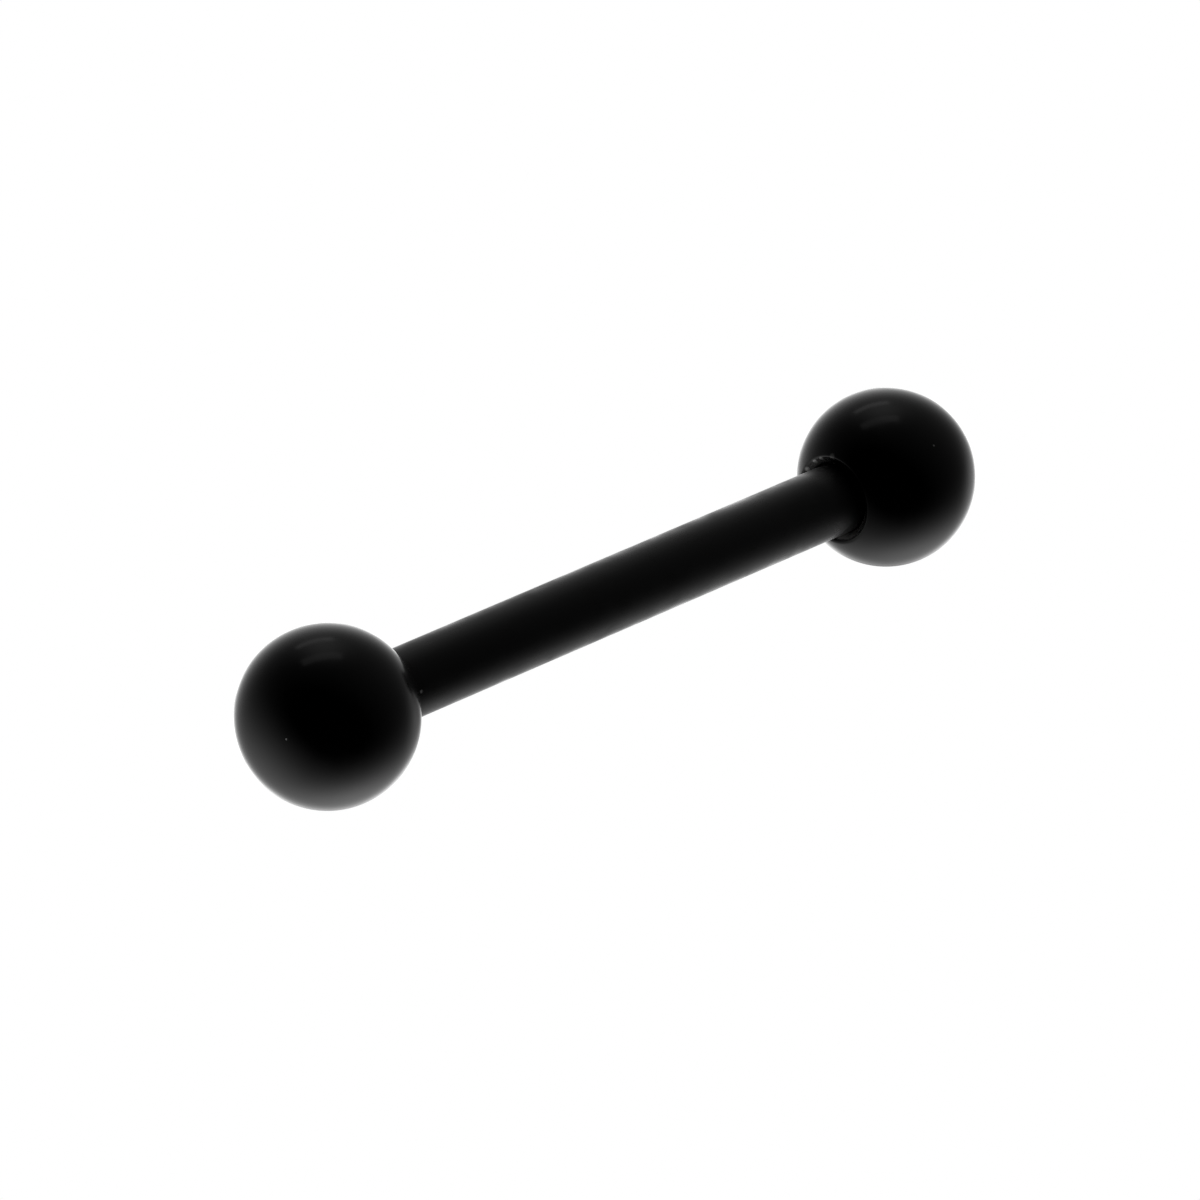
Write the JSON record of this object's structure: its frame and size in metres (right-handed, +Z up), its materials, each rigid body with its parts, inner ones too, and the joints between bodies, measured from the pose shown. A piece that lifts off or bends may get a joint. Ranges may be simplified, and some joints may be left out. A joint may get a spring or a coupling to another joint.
{
  "type": "piercing barbell",
  "caption": "Straight black barbell for a body piercing: a round bar with a threaded ball at each end, lying on its balls.",
  "frame": {"origin": "on the surface that the balls rest on, midway between them, under the bar's axis", "axes": "+X along the bar towards ball_right, +Z up from the surface, +Y across the bar"},
  "size_m": [0.0214, 0.004, 0.004],
  "materials": {
    "bar_coating": "polished steel under a thin gloss black coating, with fine lengthwise and turning marks",
    "ball_coating": "polished steel under a thin gloss black coating, worn to bare steel on the rim of the mouth"
  },
  "bodies": {
    "bar": {"bar": "bar_coating"},
    "ball_left": {"ball_left": "ball_coating"},
    "ball_right": {"ball_right": "ball_coating"}
  },
  "joints": [
    {"name": "ball_left_off", "type": "slide", "parent": "bar", "child": "ball_left", "axis": [-1, 0, 0], "range_m": [0, 0.016]},
    {"name": "ball_right_off", "type": "slide", "parent": "bar", "child": "ball_right", "axis": [1, 0, 0], "range_m": [0, 0.016]}
  ]
}
